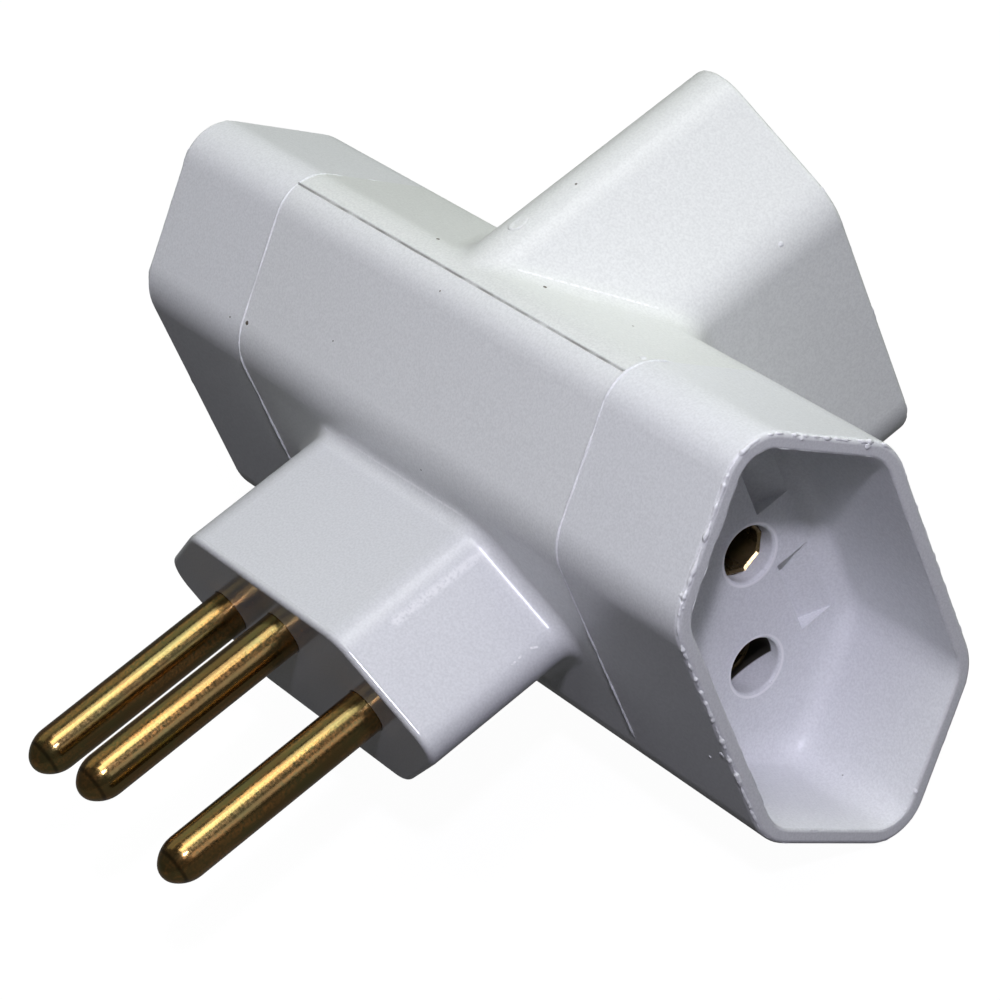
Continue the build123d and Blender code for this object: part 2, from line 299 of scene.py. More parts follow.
floor_mesh = bpy.data.meshes.new("floor")
floor_corners = []
for side_x, side_y in ((-1, -1), (1, -1), (1, 1), (-1, 1)):
    floor_corners.append((side_x * floor_size / 2, side_y * floor_size / 2, floor_z))
floor_mesh.from_pydata(floor_corners, [], [(0, 1, 2, 3)])
floor_mesh.materials.append(white_floor())
floor = linked_object("floor", floor_mesh)
floor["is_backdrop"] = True

world = bpy.data.worlds.new("studio")
bpy.context.scene.world = world
world.use_nodes = True
sky = world.node_tree
sky_colour = blend(sky, seen_directly(sky), room_light, ground_white)
sky.links.new(sky_colour, sky.nodes["Background"].inputs["Color"])
bpy.context.scene.view_settings.view_transform = "Standard"
print(f"floor at z = {floor_z / MM:.2f} mm")

# %% [markdown]
# ## Lamps
#
# The shadows in the photograph tell where its light came from. The socket's rim throws a crisp
# shadow on the socket floor, so there is one small lamp, high on the right, and a weak one lower
# down softens what it leaves dark. The tops of the bar and of the arm are lit evenly by large
# soft lamps overhead, and the faces that look to the rear are a little creamy, from soft light
# behind the adapter. The left end is dimmer than the right, so the lamps on the right stand close.

# %% Lamps


def soft_lamp(name, azimuth, elevation, distance, size, watts, colour):
    """A square lamp on a sphere round the adapter, facing it."""
    data = bpy.data.lights.new(name, "AREA")
    data.shape = "SQUARE"
    data.size = size
    data.energy = watts
    data.color = colour
    lamp = bpy.data.objects.new(name, data)
    towards = away(math.radians(azimuth), math.radians(elevation))
    place = Vector((0.0, bar_axis_y, 0.0)) + towards * distance
    turn = towards.to_track_quat("Z", "Y").to_matrix().to_4x4()
    lamp.matrix_world = Matrix.Translation(place) @ turn
    bpy.context.scene.collection.objects.link(lamp)
    print(f"{name}: {watts} W")


soft_lamp("key", azimuth=77.0, elevation=51.3, distance=0.45,
          size=0.025, watts=1.0, colour=(0.84, 0.82, 1.0))
soft_lamp("right_fill", azimuth=100.0, elevation=25.0, distance=0.6,
          size=0.2, watts=0.15, colour=(0.88, 0.86, 1.0))
soft_lamp("overhead_right", azimuth=90.0, elevation=75.0, distance=0.6,
          size=0.2, watts=0.96, colour=(0.96, 0.99, 0.95))
soft_lamp("overhead_rear", azimuth=180.0, elevation=75.0, distance=0.9,
          size=0.3, watts=1.0, colour=(0.95, 0.95, 0.97))
soft_lamp("rear_low", azimuth=180.0, elevation=18.0, distance=0.9,
          size=0.6, watts=2.0, colour=(0.9, 1.0, 0.9))
soft_lamp("rear_high", azimuth=165.0, elevation=50.0, distance=0.9,
          size=0.6, watts=1.1, colour=(0.96, 1.0, 0.86))
soft_lamp("left_high", azimuth=270.0, elevation=50.0, distance=0.9,
          size=0.6, watts=0.55, colour=(0.9, 1.0, 0.86))

# %% [markdown]
# ## Marks at given pixels
#
# Some marks are this adapter's own: a dark speck by the left seam, nicks along a ridge, crumbs of
# plastic on a rim. They are named in the steps below, with their pixel in the photograph. A ray
# from the camera through that pixel finds the surface under the mark, so the mark sits on the
# plastic from whichever side it is seen.

# %% Find a pixel's place on the plastic
casing = ("front_shell", "rear_shell", "left_socket_cap", "right_socket_cap")
ridge_pixel = (465, 278)
graph = bpy.context.evaluated_depsgraph_get()
casing_trees = [BVHTree.FromObject(nodes[name], graph) for name in casing]


def hit_casing(start, direction):
    """Nearest point of the casing along a ray, with its normal."""
    hits = [tree.ray_cast(start, direction) for tree in casing_trees]
    point, normal = min((hit for hit in hits if hit[0]), key=lambda hit: hit[3])[:2]
    return point, normal


def under_pixel(pixel):
    """The casing's point that the camera sees at a pixel of the photograph, with its normal."""
    aim = Vector((pixel[0] - centre_pixel[0], centre_pixel[1] - pixel[1], -focal_pixels))
    return hit_casing(camera_place, (camera_turn @ aim).normalized())


ridge_point = under_pixel(ridge_pixel)[0]
print(f"the ridge is at y = {ridge_point.y / MM:.2f} mm, z = {ridge_point.z / MM:.2f} mm")

# %% [markdown]
# ## Dirt on the plastic
#
# White plastic that has been in use isn't one flat white. On the adapter, dirt sits in the seams,
# the rims of the mouths are a little darker, and here and there is a dark pin-point. This could be
# painted by hand on an unwrapped image. A mask worked out from Object coordinates needs no
# unwrapping and takes its place from the solids, so each of these functions makes one.

# %% Masks for dirt
seam_line = 0.13 * MM
ridge_line = 0.12 * MM
flash_end = -9.0 * MM
flash_fade = 1.0 * MM
dirt_scale, dirt_levels = 500.0, (0.2, 0.6)
rim_depth = 0.3 * MM
dot_cells = 130.0
dot_edge = (0.014, 0.008)
dot_choice = (0.6, 0.62)


def seam_dirt(tree, place):
    """1 in the joint along the shells' ridges and in the lower part of the end caps' seams."""
    axes = axes_of(tree, place)
    across = minus(tree, axes["Y"], bar_axis_y)
    along = minus(tree, absolute(tree, axes["X"]), seam_x)
    between_caps = calc(tree, "LESS_THAN", along, 0.0)
    ridge = times(tree, soft_line(tree, across, ridge_line), between_caps)
    low = fade(tree, axes["Z"], flash_end, flash_end - flash_fade)
    seam = times(tree, soft_line(tree, along, seam_line), low)
    uneven = patches(tree, place, dirt_scale, *dirt_levels)
    return times(tree, larger(tree, ridge, seam), uneven)


def rim_faces(tree, place):
    """1 on the faces of the three mouths' rims."""
    axes = axes_of(tree, place)
    ends = minus(tree, absolute(tree, axes["X"]), mouth_x)
    rear = minus(tree, axes["Y"], rear_mouth_y)
    return fade(tree, larger(tree, ends, rear), -rim_depth, -rim_depth * line_core)


def dark_dots(tree, place):
    """Sparse pin-point specks, one in some of the cells that a Voronoi texture makes."""
    cells = add(tree, "ShaderNodeTexVoronoi", {"Vector": place, "Scale": dot_cells}).outputs
    dot = fade(tree, cells["Distance"], *dot_edge)
    tint = add(tree, "ShaderNodeSeparateColor", {"Color": cells["Color"]}).outputs[0]
    return times(tree, dot, fade(tree, tint, *dot_choice))


print("masks: seam_dirt, rim_faces, dark_dots")

# %% [markdown]
# ## The pin holes
#
# The moulded edges round the holes in the sockets' floors get a painted highlight, and inside the
# holes for the power pins a painted shadow darkens the plastic past a slanting line. Both could be
# modelled, but they are only a change of colour, so masks do: a distance from the hole's axis
# gives the ring, and a depth below the socket floor gives the shadow. The left socket is the right
# one turned round, so the sign of X turns the earth hole's place.

# %% Masks for the pin holes
hole_low, hole_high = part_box("right_line_sleeve")
hole_y = (hole_low.y + hole_high.y) / 2
hole_z = (hole_low.z + hole_high.z) / 2
earth_low, earth_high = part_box("right_earth_sleeve")
earth_y = (earth_low.y + earth_high.y) / 2
socket_floor_x = 22.95 * MM
hole_radius = 2.45 * MM
unshaded_depth = 1.0 * MM
hole_shadow_slope = 1.25
hole_shadow_fade = 0.15 * MM
edge_radius = 2.58 * MM
edge_line = 0.13 * MM
edge_depth = (0.4 * MM, 0.3 * MM)


def off_axis(tree, beside, above):
    """Distance from a hole's axis, from the distances beside it and above it."""
    reach = add(tree, "ShaderNodeCombineXYZ", {"Y": beside, "Z": above}).outputs[0]
    return vector(tree, "LENGTH", reach)["Value"]


def power_holes(tree, place):
    """Two masks: the power holes of the end sockets, and the painted shadow on their walls past a
    slanting line.
    """
    axes = axes_of(tree, place)
    above = minus(tree, axes["Z"], times(tree, calc(tree, "SIGN", axes["Z"]), hole_z))
    far = off_axis(tree, minus(tree, axes["Y"], hole_y), above)
    inside = calc(tree, "LESS_THAN", far, hole_radius)
    depth = minus(tree, socket_floor_x, absolute(tree, axes["X"]))
    line = larger(tree, times(tree, above, -hole_shadow_slope), unshaded_depth)
    past = fade(tree, minus(tree, depth, line), 0.0, hole_shadow_fade)
    return inside, times(tree, past, inside)


# A painted highlight on the moulded edges round the pin holes.
def hole_edge_highlights(tree, place):
    """1 on the moulded edges round the pin holes in the floors of the end sockets, for a painted
    highlight.
    """
    axes = axes_of(tree, place)
    height = absolute(tree, axes["Z"])
    from_line = minus(tree, axes["Y"], hole_y)
    turned = times(tree, from_line, calc(tree, "SIGN", axes["X"]))
    edge = 0.0
    for offset, z in ((0.0, hole_z), (earth_y - hole_y, 0.0)):
        far = off_axis(tree, minus(tree, turned, offset), minus(tree, height, z))
        off_edge = minus(tree, far, edge_radius)
        edge = larger(tree, edge, soft_line(tree, off_edge, edge_line))
    off_floor = absolute(tree, minus(tree, absolute(tree, axes["X"]), socket_floor_x))
    return times(tree, edge, fade(tree, off_floor, *edge_depth))


print(f"power holes {hole_z / MM:.2f} mm above and below the bar's axis")

# %% [markdown]
# ## Painted highlights
#
# The inner corners at the roots of the nose and of the arm end in a bright line, a streak shines
# down the nose, and a few glints sit at the nose's lower corner. All are painted highlights, too
# fine to be worth modelling. Each is named with the two pixels it runs between, and the distance
# from the stretch between those two places on the plastic draws it. Noise breaks it up.

# %% Painted highlights
# First pixel, last pixel, half width in mm, strength.
highlight_marks = {
    "nose_root": ((325, 428), (463, 516), 0.13, 1.0),
    "arm_root": ((519, 270), (658, 308), 0.13, 1.0),
    "nose_sheen": ((486, 549), (396, 621), 0.50, 0.5),
    "nose_glint_high": ((531, 648), (537, 647), 0.11, 1.0),
    "nose_glint_mid": ((519, 658), (521, 656), 0.10, 0.8),
    "nose_glint_low": ((512, 664), (515, 662), 0.11, 0.8),
}
highlight_core = 0.4
break_scale, break_levels = 3600.0, (0.3, 0.55)


def painted_highlights(tree, place):
    """Strength of the painted highlights, from where the two pixels of each lie on the casing."""
    total = 0.0
    for first, last, width, strength in highlight_marks.values():
        start, end = [under_pixel(pixel)[0] for pixel in (first, last)]
        along = end - start
        reach = vector(tree, "SUBTRACT", place, start)["Vector"]
        share = vector(tree, "DOT_PRODUCT", reach, along / along.length_squared)["Value"]
        held = add(tree, "ShaderNodeClamp", {"Value": share}).outputs[0]
        foot = vector(tree, "SCALE", along, Scale=held)["Vector"]
        apart = vector(tree, "DISTANCE", reach, foot)["Value"]
        line = soft_line(tree, apart, width * MM, highlight_core)
        total = larger(tree, total, times(tree, line, strength))
    return times(tree, total, patches(tree, place, break_scale, *break_levels))


print("bright lines:", ", ".join(highlight_marks))

# %% [markdown]
# ## White moulded plastic
#
# The casing is four mouldings of one white plastic. The caps are a little bluer than the rear
# shell, and a fine grain runs through them all. The nose is painted greyer and its face darker,
# both as painted shade. Four flat colours would look like paper, so one function makes each tone:
# noise on Object coordinates gives the grain, and the masks above are mixed in one after the
# other. A lighter tone, without the darker rims, is for burrs and crumbs.

# %% White plastic
nose_root_y = 13.9 * MM
nose_blend = 1.5 * MM
nose_shade_tone = (0.68, 0.69, 0.70)
grain_scale, grain_levels = 5200.0, (0.3, 0.7)
grain_shades = (0.94, 1.06)
spot_strength = 0.7
face_depth = 0.6 * MM
face_shade = 0.2
face_polish = 0.5
plastic_ior = 1.5
dirt_and_shade_colour = (0.16, 0.15, 0.13, 1.0)
highlight_colour = (0.97, 0.97, 0.97, 1.0)
hole_shadow_colour = (0.03, 0.027, 0.022, 1.0)


def grained(tree, mottle, tone):
    """A tone with a darker and a lighter shade of it in the grain."""
    shades = [tuple(part * level for part in tone) + (1.0,) for level in grain_shades]
    return blend(tree, mottle, *shades)


def white_plastic(name, tone, roughness, rim_darkening=0.14):
    """White plastic of one tone, with a fine grain, darker rims, painted shade on the nose and its
    face, painted highlights and a painted shadow in the power holes.
    """
    material, tree, shader, place = finish_tree(name)
    along = axes_of(tree, place)["Y"]
    mottle = patches(tree, place, grain_scale, *grain_levels, detail=1.0)
    # The nose is painted greyer than the rest: painted shade.
    nose_shaded = fade(tree, along, nose_root_y, nose_root_y - nose_blend)
    clean = blend(tree, nose_shaded, grained(tree, mottle, tone), grained(tree, mottle, nose_shade_tone))
    # Inside the power holes the plastic is darkened past a slanting line: a painted shadow.
    in_hole, hole_shadow = power_holes(tree, place)
    dirt = times(tree, seam_dirt(tree, place), minus(tree, 1.0, in_hole))
    spots = times(tree, larger(tree, dirt, dark_dots(tree, place)), spot_strength)
    rim_darkened = times(tree, rim_faces(tree, place), rim_darkening)
    # The plug's face is painted darker: painted shade.
    face_shaded = times(tree, fade(tree, along, face_depth, 0.0), face_shade)
    # Dirt, the darker rims and the painted shade of the face darken the colour together.
    dirt_and_shade = larger(tree, spots, larger(tree, rim_darkened, face_shaded))
    darkened = blend(tree, dirt_and_shade, clean, dirt_and_shade_colour)
    # The listed lines and the edges round the pin holes are lightened to a near white: painted
    # highlights.
    edges = larger(tree, painted_highlights(tree, place), hole_edge_highlights(tree, place))
    highlighted = blend(tree, edges, darkened, highlight_colour)
    polish = larger(tree, fade(tree, along, 0.0, face_depth), face_polish)
    feed(tree, shader, {
        "Base Color": blend(tree, hole_shadow, highlighted, hole_shadow_colour),
        "Roughness": times(tree, polish, roughness),
        "IOR": plastic_ior,
    })
    return material


cap_plastic = white_plastic("cap_plastic", (0.81, 0.82, 0.825), roughness=0.36)
front_plastic = white_plastic("front_plastic", (0.81, 0.82, 0.815), roughness=0.28)
rear_plastic = white_plastic("rear_plastic", (0.80, 0.815, 0.785), roughness=0.33)
burr_plastic = white_plastic("burr_plastic", (0.86, 0.865, 0.87), roughness=0.3, rim_darkening=0.0)
print("plastics:", cap_plastic.name, front_plastic.name, rear_plastic.name, burr_plastic.name)

# %% [markdown]
# ## Tarnished brass
#
# The pins are turned brass that has been handled for years: an olive-brown tarnish, rubbed
# brighter in streaks along the pin where it slides in and out of sockets, with fine scratches the
# same way. The lathe left a crease round each rounded tip, and a dark line painted there is
# painted shade. A picture of brass would show where it repeats. Noise that is stretched along one
# axis gives streaks that don't, and the distance from the tips gives the painted shade of the
# crease.

# %% Brass of the pins
olive = (0.20, 0.165, 0.065, 1.0)
brown = (0.23, 0.15, 0.058, 1.0)
bright = (0.50, 0.25, 0.08, 1.0)
skin_scale, skin_levels = 350.0, (0.4, 0.62)
rub_stretch, rub_scale, rub_levels = (1.0, 0.07, 1.0), 1500.0, (0.42, 0.7)
pit_scale, pit_levels = 4200.0, (0.35, 0.6)
scratch_stretch, scratch_scale = (1.0, 0.03, 1.0), 5000.0
scratch_depth, scratch_strength = 0.008 * MM, 0.6
pit_depth, pit_strength = 0.012 * MM, 0.45
pin_dullness, pit_dullness = 0.1, 0.2
crease_place = 1.15 * MM
crease_width = 0.2 * MM
crease_core = 0.3
crease_strength = 0.6
crease_shade_colour = (0.025, 0.02, 0.012, 1.0)


def streaks(tree, place, stretch, scale):
    """Noise drawn out along one axis."""
    drawn = add(tree, "ShaderNodeMapping", {"Vector": place, "Scale": stretch}).outputs["Vector"]
    return cloud(tree, drawn, scale, detail=4.0)


def bump(tree, height, depth, strength, **normal):
    """A normal that follows a height, on top of another normal if one is given."""
    values = {"Height": height, "Distance": depth, "Strength": strength}
    return add(tree, "ShaderNodeBump", values | normal).outputs["Normal"]


def tarnished_brass(name):
    """Old handled brass, with a dark line near the tips of the pins as painted shade of a crease.
    """
    material, tree, shader, place = finish_tree(name)
    rub = fade(tree, streaks(tree, place, rub_stretch, rub_scale), *rub_levels)
    grain = cloud(tree, place, pit_scale, detail=3.0)
    worn = times(tree, rub, fade(tree, grain, *pit_levels))
    skin = blend(tree, patches(tree, place, skin_scale, *skin_levels), olive, brown)
    rubbed = blend(tree, worn, skin, bright)
    # A dark ring near each tip: painted shade of the crease.
    off_crease = minus(tree, axes_of(tree, place)["Y"], cad_low.y + crease_place)
    crease_shade = times(tree, soft_line(tree, off_crease, crease_width, crease_core), crease_strength)
    lines = streaks(tree, place, scratch_stretch, scratch_scale)
    scratched = bump(tree, lines, scratch_depth, scratch_strength)
    feed(tree, shader, {
        "Base Color": blend(tree, crease_shade, rubbed, crease_shade_colour),
        "Roughness": calc(tree, "MULTIPLY_ADD", grain, pit_dullness, pin_dullness),
        "Metallic": 1.0,
        "Normal": bump(tree, grain, pit_depth, pit_strength, Normal=scratched),
    })
    return material


pin_metal = tarnished_brass("pin_brass")
print("metal of the pins:", pin_metal.name)

# %% [markdown]
# ## Sheet brass and insulating board
#
# The contacts inside are brass sheet that has gone brown, and between the poles lie plates of
# fibre board. Little of them is seen, so their finishes are plain: two shades in patches or in
# fibres, and a shallow bump along the way that the sheet was rolled or the fibres lie. The mouths
# of the earth contacts get the same brass, slightly duller.

# %% Sheet brass and board
sheet_shades = ((0.18, 0.13, 0.06, 1.0), (0.32, 0.23, 0.105, 1.0))
sheet_scale, sheet_levels = 500.0, (0.4, 0.62)
sheet_metallic = 0.7
patch_shine = -0.3
roll_stretch, roll_scale = (0.1, 1.0, 1.0), 3000.0
roll_depth, roll_strength = 0.01 * MM, 0.5
board_shades = ((0.20, 0.12, 0.06, 1.0), (0.34, 0.22, 0.12, 1.0))
board_roughness = 0.62
fibre_stretch, fibre_scale, fibre_levels = (0.15, 1.0, 1.0), 2200.0, (0.35, 0.65)
fibre_depth, fibre_strength = 0.03 * MM, 0.6


def sheet_brass(name, dullness):
    """Rolled brass gone brown, shinier in its lighter patches."""
    material, tree, shader, place = finish_tree(name)
    patch = patches(tree, place, sheet_scale, *sheet_levels, detail=4.0)
    rolled = streaks(tree, place, roll_stretch, roll_scale)
    feed(tree, shader, {
        "Base Color": blend(tree, patch, *sheet_shades),
        "Roughness": calc(tree, "MULTIPLY_ADD", patch, patch_shine * dullness, dullness),
        "Metallic": sheet_metallic,
        "Normal": bump(tree, rolled, roll_depth, roll_strength),
    })
    return material


def insulating_board(name):
    """Brown fibre board."""
    material, tree, shader, place = finish_tree(name)
    fibres = streaks(tree, place, fibre_stretch, fibre_scale)
    feed(tree, shader, {
        "Base Color": blend(tree, fade(tree, fibres, *fibre_levels), *board_shades),
        "Roughness": board_roughness,
        "Normal": bump(tree, fibres, fibre_depth, fibre_strength),
    })
    return material


contact_metal = sheet_brass("contact_brass", dullness=0.28)
lip_metal = sheet_brass("lip_brass", dullness=0.3)
board = insulating_board("insulating_board")
print("finishes inside:", contact_metal.name, lip_metal.name, board.name)

# %% [markdown]
# ## Painting the solids
#
# Twenty-one solids share six finishes. Their names end in what they are, so a short table of
# endings paints them all, and a new contact would be painted too.

# %% Paint the solids


def paint(node, material):
    """Give an object one material and no other."""
    node.data.materials.clear()
    node.data.materials.append(material)


finishes = {
    "_cap": cap_plastic,
    "front_shell": front_plastic,
    "rear_shell": rear_plastic,
    "_pin": pin_metal,
    "_busbar": contact_metal,
    "_sleeve": contact_metal,
    "_separator": board,
}
for name, node in nodes.items():
    for ending, material in finishes.items():
        if name.endswith(ending):
            paint(node, material)
print(f"painted {len(nodes)} solids with {len(set(finishes.values()))} finishes")

# %% [markdown]
# ## The hexagonal outline
#
# Flash and burrs follow the edges of the hexagonal section, so they need its outline as a path.
# It could be read from the solids' meshes, but their edges are cut into many short pieces.
# A corner's arc keeps its centre when the outline is inset by a wall, and only its radius shrinks.
# That gives one short function for the outer edge and the inner edge alike. The sizes that a box
# can't tell are written here by name.

# %% Outline of the section
half_flat = 11.5 * MM
bar_half_height = 21.85 * MM
point_radius = 3.9 * MM
side_radius = 5.0 * MM
arc_steps = 8


def hexagon_path(half_height, inset):
    """Points round the rounded hexagon, as pairs across and up, with arcs at its corners."""
    corners = [
        (Vector((0.0, half_height)), point_radius),
        (Vector((half_width, half_flat)), side_radius),
        (Vector((half_width, -half_flat)), side_radius),
        (Vector((0.0, -half_height)), point_radius),
        (Vector((-half_width, -half_flat)), side_radius),
        (Vector((-half_width, half_flat)), side_radius),
    ]
    path = []
    for index, (corner, radius) in enumerate(corners):
        before = (corners[index - 1][0] - corner).normalized()
        after = (corners[(index + 1) % len(corners)][0] - corner).normalized()
        inward = (before + after).normalized()
        half_angle = before.angle(after) / 2
        centre = corner + inward * radius / math.sin(half_angle)
        turn = math.pi - 2 * half_angle
        for step in range(arc_steps + 1):
            swing = turn * (0.5 - step / arc_steps)
            path.append(centre + Matrix.Rotation(swing, 2) @ -inward * (radius - inset))
    return path


def ring(place_point, half_height, inset):
    """A closed outline in space, with each pair set in its place by a function."""
    return [place_point(across, up) for across, up in hexagon_path(half_height, inset)]


def ring_mesh(name, rings):
    """A mesh of edges round each ring of points."""
    points, edges = [], []
    for corners in rings:
        first, count = len(points), len(corners)
        points.extend(corners)
        for step in range(count):
            edges.append((first + step, first + (step + 1) % count))
    mesh = bpy.data.meshes.new(name)
    mesh.from_pydata(points, edges, [])
    return mesh


outline = hexagon_path(bar_half_height, 0.0)
top = max(point.y for point in outline)
print(f"outline of {len(outline)} points, highest {top / MM:.2f} mm")

# %% [markdown]
# ## Growing pieces from node trees
#
# The small pieces repeat along a path or over points, so Geometry Nodes suits them: the tree holds
# the recipe, and its inputs hold what differs. Each tree is opened with named inputs and closed
# with a material. The finished piece is kept as a plain mesh, so nothing has to be run again.

# %% Tree helpers
noise_middle = (0.5, 0.5, 0.5)


def open_tree(name, sockets):
    """An empty tree with named inputs and one piece of geometry as its output."""
    tree = bpy.data.node_groups.new(name, "GeometryNodeTree")
    for title, kind in sockets.items():
        tree.interface.new_socket(title, in_out="INPUT", socket_type="NodeSocket" + kind)
    tree.interface.new_socket("Piece", in_out="OUTPUT", socket_type="NodeSocketGeometry")
    return tree, tree.nodes.new("NodeGroupInput").outputs


def close_tree(tree, shape, material):
    """End a tree: smooth shading, no instances left, and a material."""
    smooth = add(tree, "GeometryNodeSetShadeSmooth", {"Geometry": shape}).outputs[0]
    real = add(tree, "GeometryNodeRealizeInstances", {"Geometry": smooth}).outputs[0]
    values = {"Geometry": real, "Material": material}
    painted = add(tree, "GeometryNodeSetMaterial", values).outputs[0]
    add(tree, "NodeGroupOutput", {"Piece": painted})


def nudged(tree, shape, seed, scale, amount):
    """Move a shape's points by a small vector that changes smoothly from place to place."""
    values = {"W": seed, "Scale": scale}
    drift = add(tree, "ShaderNodeTexNoise", values, noise_dimensions="4D").outputs["Color"]
    centred = vector(tree, "SUBTRACT", drift, noise_middle)["Vector"]
    offset = vector(tree, "SCALE", centred, Scale=amount)["Vector"]
    moves = {"Geometry": shape, "Offset": offset}
    return add(tree, "GeometryNodeSetPosition", moves).outputs[0]


def grow(name, seed_mesh, tree, inputs):
    """Run a node tree on a mesh, and keep the result as a plain mesh."""
    piece = linked_object(name, seed_mesh)
    modifier = piece.modifiers.new("grow", "NODES")
    modifier.node_group = tree
    for item in tree.interface.items_tree:
        if item.name in inputs:
            modifier[item.identifier] = inputs[item.name]
    grown = piece.evaluated_get(bpy.context.evaluated_depsgraph_get())
    plain = bpy.data.meshes.new_from_object(grown)
    piece.modifiers.clear()
    piece.data = plain
    paint(piece, inputs["Material"])
    return piece


def settle(piece):
    """Give a finished piece its body."""
    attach(piece, "root")
    print(f"{piece.name}: {len(piece.data.polygons)} faces")


print("helpers: open_tree, close_tree, nudged, grow, settle")

# %% [markdown]
# ## A ragged bead, as a node tree
#
# Where two halves of a mould meet, plastic creeps into the gap and leaves a thin ragged bead. On
# the adapter there is one round each cap's seam, and there are burrs along the edges of the
# sockets' mouths. In the tree a path goes in, noise nudges it and changes its thickness, and Curve
# to Mesh sweeps a small circle along it. The thickness, the nudge, the size of the lumps and where
# the bead fades out are inputs of the tree, so one tree makes them all.

# %% The bead's node tree
bead_numbers = (
    "Thin", "Thick", "Nudge", "Lumps", "Step",
    "Patchiness", "Fades Below", "Fades Behind", "Seed",
)
bead_sides = 6
lump_seed = 7.0
lump_detail = 3.0
lump_levels = (-0.1, 0.12)


def bead_tree():
    """A path goes in, and a bead along it comes out, thick in lumps and thin between them."""
    sockets = {"Path": "Geometry"} | dict.fromkeys(bead_numbers, "Float")
    tree, given = open_tree("ragged_bead", sockets | {"Material": "Material"})
    loops = add(tree, "GeometryNodeMeshToCurve", {"Mesh": given["Path"]}).outputs[0]
    spacing = {"Curve": loops, "Length": given["Step"]}
    fine = add(tree, "GeometryNodeResampleCurve", spacing, mode="LENGTH").outputs[0]
    moved = nudged(tree, fine, given["Seed"], given["Lumps"], given["Nudge"])
    other_seed = calc(tree, "ADD", given["Seed"], lump_seed)
    lumps = {"W": other_seed, "Scale": given["Lumps"], "Detail": lump_detail}
    lumpy = add(tree, "ShaderNodeTexNoise", lumps, noise_dimensions="4D").outputs[0]
    axes = axes_of(tree, add(tree, "GeometryNodeInputPosition").outputs[0])
    high = fade(tree, minus(tree, axes["Z"], given["Fades Below"]), 0.0, flash_fade)
    ahead = fade(tree, minus(tree, axes["Y"], given["Fades Behind"]), flash_fade, 0.0)
    patchy = fade(tree, minus(tree, lumpy, given["Patchiness"]), *lump_levels)
    share = times(tree, patchy, times(tree, high, ahead))
    swell = minus(tree, given["Thick"], given["Thin"])
    radius = calc(tree, "MULTIPLY_ADD", share, swell, given["Thin"])
    unit_circle = {"Resolution": bead_sides, "Radius": 1.0}
    circle = add(tree, "GeometryNodeCurvePrimitiveCircle", unit_circle).outputs[0]
    sweep = {"Curve": moved, "Profile Curve": circle, "Scale": radius}
    bead = add(tree, "GeometryNodeCurveToMesh", sweep).outputs[0]
    close_tree(tree, bead, given["Material"])
    return tree


ragged_bead = bead_tree()
print("inputs:", [item.name for item in ragged_bead.interface.items_tree])

# %% [markdown]
# ## Flash round the cap seams
#
# Each end cap meets the two shells in a seam that runs round the bar. On the upper and front faces
# a thin line of flash stands proud of it and catches the light. Lower down the seam is only a dark
# line, so the bead thins out there and the dirt in the material takes over.

# %% Seam flash
flash_sink = 0.04 * MM


def across_bar(x):
    """A function that sets a pair, across and up, in the plane across the bar at one x."""
    return lambda across, up: (x, bar_axis_y + across, up)


seam_rings = [ring(across_bar(x), bar_half_height, flash_sink) for x in (-seam_x, seam_x)]
seam_flash = grow("seam_flash", ring_mesh("seam_flash", seam_rings), ragged_bead, {
    "Thin": 0.03 * MM,
    "Thick": 0.165 * MM,
    "Nudge": 0.2 * MM,
    "Lumps": 420.0,
    "Patchiness": 0.38,
    "Step": 0.2 * MM,
    "Fades Below": flash_end,
    "Fades Behind": bar_axis_y + 3.0 * MM,
    "Seed": 3.0,
    "Material": cap_plastic,
})
settle(seam_flash)

# %% [markdown]
# ## Burrs on the socket mouths
#
# The rims of the three mouths aren't quite clean either. Small burrs sit on the rounded outer edge
# and on the inner edge of each rim. They are the same bead, thinner for most of its way and sunk
# into the edge, so that only the lumps come out. The right mouth's outer edge is the worst, over
# the top and down the front, so it has a bead of its own.

# %% Rim burrs
arm_half_height = 21.6 * MM
rim_wall = 1.3 * MM
outer_edge = 0.17 * MM
inner_edge = 0.10 * MM
past_everything = 1.0


def across_arm(y):
    """A function that sets a pair, across and up, in the plane across the arm at one y."""
    return lambda across, up: (across, y, up)


def rim_rings(mouth, half_height, place_plane, outward):
    """The outer and the inner edge of one mouth, each set back a little into the rim."""
    outer = ring(place_plane(mouth - outward * outer_edge), half_height, outer_edge)
    inner = ring(place_plane(mouth - outward * inner_edge), half_height, rim_wall - inner_edge)
    return [outer, inner]


ragged_lip, right_inner = rim_rings(mouth_x, bar_half_height, across_bar, 1.0)
burr_rings = [right_inner]
burr_rings += rim_rings(-mouth_x, bar_half_height, across_bar, -1.0)
burr_rings += rim_rings(rear_mouth_y, arm_half_height, across_arm, 1.0)
rim_burrs = grow("rim_burrs", ring_mesh("rim_burrs", burr_rings), ragged_bead, {
    "Thin": 0.05 * MM,
    "Thick": 0.15 * MM,
    "Nudge": 0.07 * MM,
    "Lumps": 700.0,
    "Patchiness": 0.6,
    "Step": 0.2 * MM,
    "Fades Below": -past_everything,
    "Fades Behind": past_everything,
    "Seed": 11.0,
    "Material": cap_plastic,
})
settle(rim_burrs)
lip_burrs = grow("lip_burrs", ring_mesh("lip_burrs", [ragged_lip]), ragged_bead, {
    "Thin": 0.05 * MM,
    "Thick": 0.24 * MM,
    "Nudge": 0.19 * MM,
    "Lumps": 1050.0,
    "Patchiness": 0.49,
    "Step": 0.1 * MM,
    "Fades Below": -10.0 * MM,
    "Fades Behind": bar_axis_y + 10.0 * MM,
    "Seed": 23.0,
    "Material": burr_plastic,
})
settle(lip_burrs)

